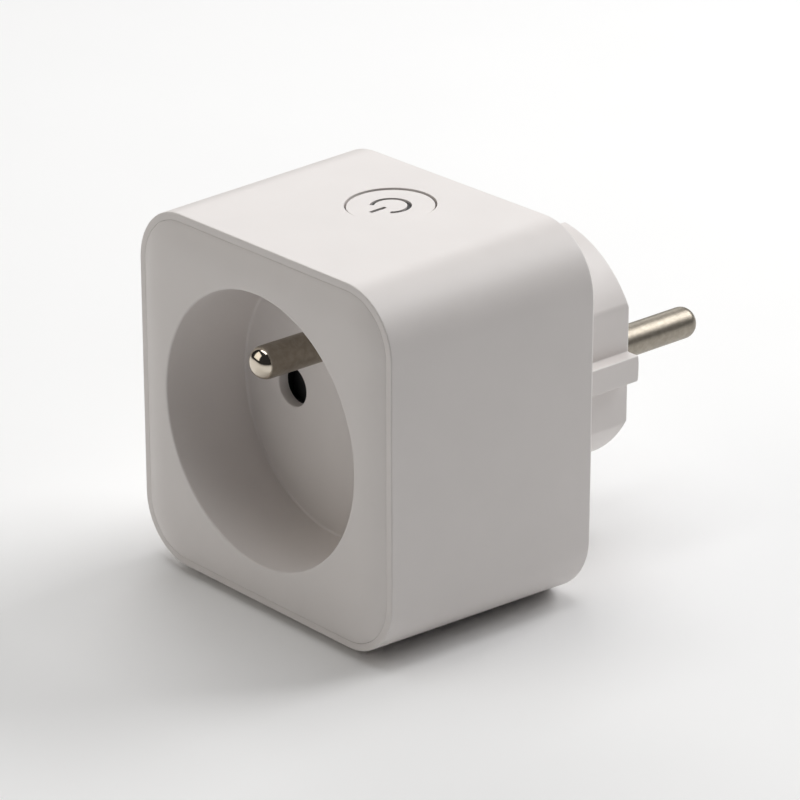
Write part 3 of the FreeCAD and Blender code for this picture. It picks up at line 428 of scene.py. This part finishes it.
def sleeve_loop(bm, y, inset):
    """The drafted sleeve's outline at y, drawn in by inset."""
    share = (y - SHELL_FRONT) / (SHELL_REAR - SHELL_FRONT)
    return square_loop(bm, FRONT_HALF + (REAR_HALF - FRONT_HALF) * share - inset,
                       FRONT_CORNER + (REAR_CORNER - FRONT_CORNER) * share - inset, y)


def make_sleeve():
    """The drafted sleeve: a flat rim in front with a rebate behind it for the cover, a rounded
    rear edge with a step for the rear plate, and the button's hole on top."""
    bm = bmesh.new()
    front = [sleeve_loop(bm, SEAM + EDGE_ROUND - rise, inset)
             for inset, rise in quarter(EDGE_ROUND, 4)]
    rear = [sleeve_loop(bm, SHELL_REAR - REAR_ROUND + rise, inset)
            for inset, rise in quarter(REAR_ROUND, 6)]
    bridge(bm, *reversed(front), *rear)
    opening = square_loop(bm, STEP, STEP_CORNER, SHELL_REAR)
    step = square_loop(bm, STEP, STEP_CORNER, REAR_INSIDE)
    inner_rear, inner_front = sleeve_loop(bm, REAR_INSIDE, WALL), sleeve_loop(bm, SEAT, WALL)
    rim, seat = sleeve_loop(bm, SEAM, LIP), sleeve_loop(bm, SEAT, LIP)
    bridge(bm, rear[-1], opening, step, inner_rear, inner_front, seat, rim, front[-1])
    bm.normal_update()
    rings = [tilt_to_top(bm, level_loop(bm, BUTTON_HOLE + HOLE_EDGE - rise, TOP_AT_BUTTON - inset))
             for inset, rise in quarter(HOLE_EDGE, 2)]
    rings.append(tilt_to_top(bm, level_loop(bm, BUTTON_HOLE, TOP_AT_BUTTON - WALL)))
    for level, ring in ((TOP_AT_BUTTON, rings[0]), (TOP_AT_BUTTON - WALL, rings[-1])):
        panel = top_panel(bm, level)
        border = list(panel.edges)
        bmesh.ops.delete(bm, geom=[panel], context="FACES_ONLY")
        fill(bm, border, ring)
    bridge(bm, *rings)
    finished(bm, "casing_sleeve", "casing_plastic", "casing", "body_shell")


# ---- plug nose --------------------------------------------------------------------------------

NOSE, FLAT, RIB = 18.25, 16.0, 2.0      # radius, half width over the flats, half width of a rib
GROOVE, GROOVE_FLOOR, GROOVE_END = 2.6, 15.0, -16.3
NOSE_ROUND, PLATE_ROUND, RIB_ROUND = 0.45, 0.2, 0.2
PLATE, PLATE_CORNER = 26.6, 8.7
POCKET, POCKET_CORNER, POCKET_TALL = 13.9, 5.0, 13.4
NOSE_WALL = -3.0                        # the nose's end wall reaches in to here
NOSE_HOLES = ((-HALF_PITCH, 0, PIN_HOLE, 0.05), (HALF_PITCH, 0, PIN_HOLE, 0.05),
              (0, EARTH_Z, 2.7, 0.35))


def nose_loop(bm, y, inset=0.0, grooved=True):
    """The nose's outline: a circle with side flats and a guide rib across each, and a clip groove
    above and below."""
    before = set(bm.verts)
    radius, flat, rib, groove = NOSE - inset, FLAT - inset, RIB - inset, GROOVE + inset
    about = {"cent": (0, y, 0), "axis": (0, -1, 0), "dvec": (0, 0, 0)}

    def sweep(vert, angle, steps):
        spun = bmesh.ops.spin(bm, geom=[vert], angle=angle, steps=steps, use_merge=False, **about)
        return next(item for item in spun["geom_last"] if isinstance(item, bmesh.types.BMVert))

    def draw(vert, x, z):
        moved = bmesh.ops.extrude_vert_indiv(bm, verts=[vert])["verts"][0]
        moved.co = (x, y, z)
        return moved

    vert = bmesh.ops.create_vert(bm, co=(radius, y, 0))["vert"][0]
    vert = sweep(vert, math.asin(rib / radius), 2)
    vert = draw(vert, flat, rib)
    vert = draw(vert, flat, math.sqrt(radius ** 2 - flat ** 2))
    begin, end = math.acos(flat / radius), math.acos(groove / radius)
    vert = sweep(vert, end - begin, 20)
    if grooved:
        vert = draw(vert, groove, GROOVE_FLOOR - inset)
        draw(vert, 0, GROOVE_FLOOR - inset)
    else:
        sweep(vert, math.pi / 2 - end, 3)
    for axis in ("X", "Z"):
        fresh = [v for v in bm.verts if v not in before]
        bmesh.ops.mirror(bm, geom=fresh + loose_edges(fresh), matrix=Matrix(), merge_dist=CLOSE,
                         axis=axis)
    fresh = [v for v in bm.verts if v not in before]
    face = bmesh.ops.contextual_create(bm, geom=loose_edges(fresh))["faces"][0]
    corners = [v for v in face.verts if abs(abs(v.co.z) - rib) < CLOSE]
    bmesh.ops.bevel(bm, geom=corners, offset=RIB_ROUND, offset_type="OFFSET", segments=3,
                    profile=0.5, affect="VERTICES", material=-1)
    fewest_corners = 90
    face = next(f for f in bm.faces
                if len(f.verts) > fewest_corners and abs(f.calc_center_median().y - y) < CLOSE)
    edges = list(face.edges)
    bmesh.ops.delete(bm, geom=[face], context="FACES_ONLY")
    return edges


def make_nose_cover():
    """Rear plate with the plug nose moulded on it."""
    bm = bmesh.new()
    root = nose_loop(bm, SHELL_REAR, grooved=False)
    behind_groove = nose_loop(bm, GROOVE_END, grooved=False)
    bridge(bm, root, behind_groove)
    shaft = [nose_loop(bm, GROOVE_END)]
    shaft += [nose_loop(bm, -NOSE_ROUND + rise, inset) for inset, rise in quarter(NOSE_ROUND, 5)]
    bridge(bm, *shaft)
    plate = [square_loop(bm, PLATE, PLATE_CORNER, REAR_INSIDE)]
    plate += [square_loop(bm, PLATE - inset, PLATE_CORNER - inset, SHELL_REAR - PLATE_ROUND + rise)
              for inset, rise in quarter(PLATE_ROUND, 3)]
    bridge(bm, *plate)
    fill(bm, plate[-1], root)
    cavity = square_loop(bm, POCKET, POCKET_CORNER, REAR_INSIDE, POCKET_TALL, 8)
    pocket = square_loop(bm, POCKET, POCKET_CORNER, NOSE_WALL, POCKET_TALL, 8)
    fill(bm, plate[0], cavity)
    bridge(bm, cavity, pocket)
    outside, inside = [], []
    for x, z, radius, mouth in NOSE_HOLES:
        lip = [round_loop(bm, radius + mouth - rise, -inset, x, z, 48)
               for inset, rise in quarter(mouth, 3)]
        back = round_loop(bm, radius, NOSE_WALL, x, z, 48)
        bridge(bm, *lip, back)
        outside.append(lip[0])
        inside.append(back)
    fill(bm, shaft[-1], *outside)
    fill(bm, pocket, *inside)
    bmesh.ops.remove_doubles(bm, verts=bm.verts, dist=CLOSE)
    groove_ends = [e for e in bm.edges if e.is_boundary]
    fill(bm, groove_ends)
    finished(bm, "nose_cover", "casing_plastic", "casing", "rear_cover")


# ---- pins and earth parts ---------------------------------------------------------------------

PIN, NECK, COLLAR, TAIL = 2.4, 2.2, 3.4, 1.5    # radii
PIN_TIP, EARTH_TIP = 19.0, FACE - 0.5
TIP_ROUND = 2.05


def make_turned_pin(name, node, x, z, stations):
    """A turned pin from (radius, y) stations, closed at both ends."""
    bm = bmesh.new()
    loops = [round_loop(bm, radius, y, x, z, 72) for radius, y in stations]
    bridge(bm, *loops)
    fill(bm, loops[0])
    fill(bm, loops[-1])
    finished(bm, name, "nickel_plate", "casing", node, sharp=40.0)


def dome(tip, toward):
    """Stations over a domed tip that ends at tip, drawn in the direction of toward."""
    return [(PIN - inset, tip - toward * (TIP_ROUND - rise))
            for inset, rise in quarter(TIP_ROUND, 12)]


def make_pins():
    """Two plug pins and the earth pin: thin tail, collar in the plastic, neck and domed shank."""
    foot = [(TAIL, -6.0), (TAIL, -4.2), (COLLAR - CHAMFER, -4.2), (COLLAR, -4.0), (COLLAR, -3.0),
            (NECK, -3.0), (NECK, -0.05), (PIN, 0.0)]
    for name, x in (("line_plug_pin", HALF_PITCH), ("neutral_plug_pin", -HALF_PITCH)):
        make_turned_pin(name, name.replace("plug_", ""), x, 0, foot + dome(PIN_TIP, 1))
    shank = [(TAIL, -15.3), (TAIL, -38.8), (COLLAR - CHAMFER, -38.8), (COLLAR, -39.0),
             (COLLAR, -40.0), (NECK, -40.0), (NECK, FLOOR + 0.05), (PIN, FLOOR)]
    make_turned_pin("socket_earth_pin", "earth_pin", 0, EARTH_Z, shank + dome(EARTH_TIP, -1))


CLIP_WIDE, CLIP_THICK, CLIP_EDGE = 2.1, 0.8, 0.1    # half width, thickness, edge round
LEG_MIDDLE, LEG_HALF, LEG_BACK = 13.65, 1.85, -15.7
CLIP_LEAN, CLIP_TUCK = math.radians(23.3), math.radians(45)


def make_clip(name, node, up):
    """A bowed side clip: leg, bend, long bow and tucked-in end, all one strip."""
    bm = bmesh.new()
    ends = bmesh.ops.create_grid(bm, x_segments=1, y_segments=1, size=CLIP_WIDE,
                                 matrix=at(0, LEG_BACK, LEG_MIDDLE) @ ACROSS)["verts"]
    bmesh.ops.scale(bm, vec=(1, 1, LEG_HALF / CLIP_WIDE), space=at(0, 0, -LEG_MIDDLE), verts=ends)
    edge = next(e for e in bm.edges if all(v.co.z > LEG_MIDDLE for v in e.verts))
    level = edge.verts[0].co.z
    # the centre, angle and steps of the bend, the bow and the tucked-in end
    for (y, z), angle, steps in (((-14.5, level), math.pi / 2 - CLIP_LEAN, 6),
                                 ((-8.845, level - 13.133), 2 * CLIP_LEAN, 16),
                                 ((-3.348, level - 0.367), CLIP_TUCK, 6)):
        spun = bmesh.ops.spin(bm, geom=[edge, *edge.verts], cent=(0, y, z), axis=(-1, 0, 0),
                              dvec=(0, 0, 0), angle=angle, steps=steps, use_merge=False)
        edge = next(item for item in spun["geom_last"] if isinstance(item, bmesh.types.BMEdge))
    if up < 0:
        bmesh.ops.scale(bm, vec=(1, 1, -1), verts=bm.verts)
    piece = finished(bm, name, "nickel_plate", "casing", node, sharp=50.0)
    strip = piece.modifiers.new("strip", "SOLIDIFY")
    strip.thickness, strip.offset = CLIP_THICK * MM, 0.0
    soften = piece.modifiers.new("soften", "BEVEL")
    soften.width, soften.segments, soften.harden_normals = CLIP_EDGE * MM, 2, True
    piece.modifiers.move(0, 2)


# ---- button -----------------------------------------------------------------------------------

ICON, STROKE, ICON_GAP = 2.66, 0.66, math.radians(48)  # ring radius, slot width, half gap
BAR_NEAR, BAR_FAR = 0.9, 3.75
SKIN = 26.7                     # the cap is hollow below this height
SUNK = 0.2                      # the cap stands this far below the casing's top
CAP_TOP = TOP_AT_BUTTON - SUNK
CAP, CAP_ROUND, HOLLOW = 6.25, 0.12, 5.2
FLANGE, FLANGE_TOP, FLANGE_EDGE, CAP_FOOT = 7.3, 25.1, 0.1, 24.2
GUIDE, GUIDE_TOP = 5.1, SKIN - 0.03
RIB_GAP, RIB_DEPTH = 0.06, 0.3  # the guide's ribs in the slots: side play, and depth below the top


def icon_loops(bm, z, stroke=STROKE):
    """The standby symbol's two slots: an open ring, and a bar through its gap."""
    before = set(bm.verts)
    half = stroke / 2
    centre = (0, BUTTON_Y, z)
    ends = []
    for radius in (ICON - half, ICON + half):
        vert = bmesh.ops.create_vert(bm, co=(0, BUTTON_Y - radius, z))["vert"][0]
        bmesh.ops.rotate(bm, verts=[vert], cent=centre, matrix=Matrix.Rotation(ICON_GAP, 3, "Z"))
        spun = bmesh.ops.spin(bm, geom=[vert], cent=centre, axis=(0, 0, 1), dvec=(0, 0, 0),
                              angle=2 * (math.pi - ICON_GAP), steps=48, use_merge=False)
        last = next(item for item in spun["geom_last"] if isinstance(item, bmesh.types.BMVert))
        ends.append((vert, last))
    for side in (0, 1):
        bmesh.ops.contextual_create(bm, geom=[ends[0][side], ends[1][side]])
    ring = loose_edges([v for v in bm.verts if v not in before])
    long = (BAR_FAR - BAR_NEAR) / 2
    stretch = Matrix.Scale(long / half, 4, (0, 1, 0))
    grid = bmesh.ops.create_grid(bm, x_segments=1, y_segments=1, size=half,
                                 matrix=at(0, BUTTON_Y - BAR_NEAR - long, z) @ stretch)
    cut = bmesh.ops.bevel(bm, geom=grid["verts"], offset=half * 0.6, offset_type="OFFSET",
                          segments=4, profile=0.5, affect="VERTICES", material=-1)
    return ring, open_outline(bm, cut)


def raised(bm, outline, rise):
    """Walls straight up from a level outline to one that leans with the casing's top."""
    start = {vert for edge in outline for vert in edge.verts}
    grown = set(bmesh.ops.extrude_edge_only(bm, edges=outline)["geom"])
    fresh = [vert for vert in bm.verts if vert in grown and vert not in start]
    edges = [edge for edge in bm.edges if edge in grown and not start & set(edge.verts)]
    bmesh.ops.translate(bm, vec=(0, 0, rise), verts=fresh)
    return tilt_to_top(bm, edges)


def make_button():
    """The slightly sunk round cap with its flange, hollow under the skin, with the symbol cut
    through."""
    bm = bmesh.new()
    top = [tilt_to_top(bm, level_loop(bm, CAP - CAP_ROUND + rise, CAP_TOP - inset))
           for inset, rise in quarter(CAP_ROUND, 3)]
    side = [level_loop(bm, radius, z)
            for radius, z in ((CAP, FLANGE_TOP), (FLANGE - FLANGE_EDGE, FLANGE_TOP),
                              (FLANGE, FLANGE_TOP - FLANGE_EDGE), (FLANGE, CAP_FOOT),
                              (HOLLOW, CAP_FOOT), (HOLLOW, SKIN))]
    bridge(bm, *top, *side)
    slots = icon_loops(bm, SKIN)
    mouths = [raised(bm, slot, CAP_TOP - SKIN) for slot in slots]
    fill(bm, top[0], *mouths)
    fill(bm, side[-1], *slots)
    finished(bm, "button", "casing_plastic", "button", "button_cap")


def make_guide():
    """The dark guide under the cap, with ribs that rise into the symbol's slots."""
    bm = bmesh.new()
    foot, shoulder = level_loop(bm, GUIDE, CAP_FOOT), level_loop(bm, GUIDE, GUIDE_TOP)
    bridge(bm, foot, shoulder)
    fill(bm, foot)
    roots = icon_loops(bm, GUIDE_TOP, STROKE - RIB_GAP)
    fill(bm, shoulder, *roots)
    for root in roots:
        fill(bm, raised(bm, root, CAP_TOP - RIB_DEPTH - GUIDE_TOP))
    finished(bm, "symbol_guide", "smoke_plastic", "button", "button_light_guide")


# ---- carried-over parts, floor, light and camera ----------------------------------------------

def dress_frame():
    """Every part that keeps its own shape gets the finish of its slot."""
    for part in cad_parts.values():
        for place in part.material_slots:
            place.material = FINISHES[place.material.name.split(".")[0]]


def make_stage():
    """A plain pale floor just under the plug."""
    half_wide, gap = 3.0, 0.00005
    bm = bmesh.new()
    bmesh.ops.create_grid(bm, x_segments=1, y_segments=1, size=half_wide,
                          matrix=at(0, 0, cad_low.z - gap))
    mesh = bpy.data.meshes.new("floor")
    bm.to_mesh(mesh)
    bm.free()
    made, tree, shader = new_finish("pale_floor", 0.9)
    cloud = grain(tree, 40.0, 2.0)
    tree.links.new(blend_colours(tree, cloud, (0.92, 0.92, 0.92), (0.94, 0.94, 0.94)),
                   shader.inputs["Base Color"])
    raise_surface(tree, shader, grain(tree, 1.0), 0.01, 0.2)
    mesh.materials.append(made)
    floor = bpy.data.objects.new("floor", mesh)
    bpy.context.scene.collection.objects.link(floor)


def soft_light(name, place, aim, wide, deep, watts, spread, tint=(1, 1, 1)):
    """A rectangular lamp that looks from its place to its aim, in metres."""
    lamp = bpy.data.lights.new(name, "AREA")
    lamp.shape, lamp.size, lamp.size_y = "RECTANGLE", wide, deep
    lamp.energy, lamp.color, lamp.spread = watts, tint, math.radians(spread)
    item = bpy.data.objects.new(name, lamp)
    item.location = place
    item.rotation_euler = (Vector(aim) - Vector(place)).to_track_quat("-Z", "Y").to_euler()
    bpy.context.scene.collection.objects.link(item)


def make_light():
    """A faint even room, and four soft lamps."""
    scene = bpy.context.scene
    scene.view_settings.view_transform = "Standard"
    world = bpy.data.worlds.new("room")
    scene.world = world
    world.use_nodes = True
    room = world.node_tree.nodes["Background"]
    room.inputs["Color"].default_value = (1.0, 0.985, 0.97, 1)
    room.inputs["Strength"].default_value = 0.03
    middle = (0, -0.03, 0)
    warm = (1.0, 0.965, 0.90)
    soft_light("overhead", (-0.10, 0.05, 0.75), (-0.10, 0.05, 0), 0.6, 0.6, 1.78, 130)
    soft_light("high_behind", (0.15, 0.60, 0.50), (0, 0, 0), 0.5, 0.4, 1.9, 130)
    soft_light("left_behind", (-0.60, 0.40, 0.50), middle, 0.5, 0.5, 1.11, 150)
    soft_light("front_left", (-0.38, -0.66, 0.45), middle, 0.65, 0.65, 1.05, 150, warm)


def make_camera():
    """A long lens that looks down on the socket side and the right side."""
    roll = math.radians(-0.031)
    lens = bpy.data.cameras.new("camera")
    lens.lens, lens.sensor_width = 183.2, 36.0
    lens.clip_start, lens.clip_end = 0.01, 20.0
    camera = bpy.data.objects.new("camera", lens)
    place, aim = Vector((0.40077, -0.38280, 0.21946)), Vector((0.0002, -0.0299, -0.00231))
    upright = (aim - place).to_track_quat("-Z", "Y")
    camera.rotation_mode = "QUATERNION"
    camera.location = place
    camera.rotation_quaternion = upright @ Matrix.Rotation(roll, 3, "Z").to_quaternion()
    bpy.context.scene.collection.objects.link(camera)
    bpy.context.scene.camera = camera


dress_frame()
make_face_cover()
make_sleeve()
make_nose_cover()
make_pins()
make_clip("upper_side_clip", "earth_clip_upper", 1)
make_clip("lower_side_clip", "earth_clip_lower", -1)
make_button()
make_guide()
make_stage()
make_light()
make_camera()
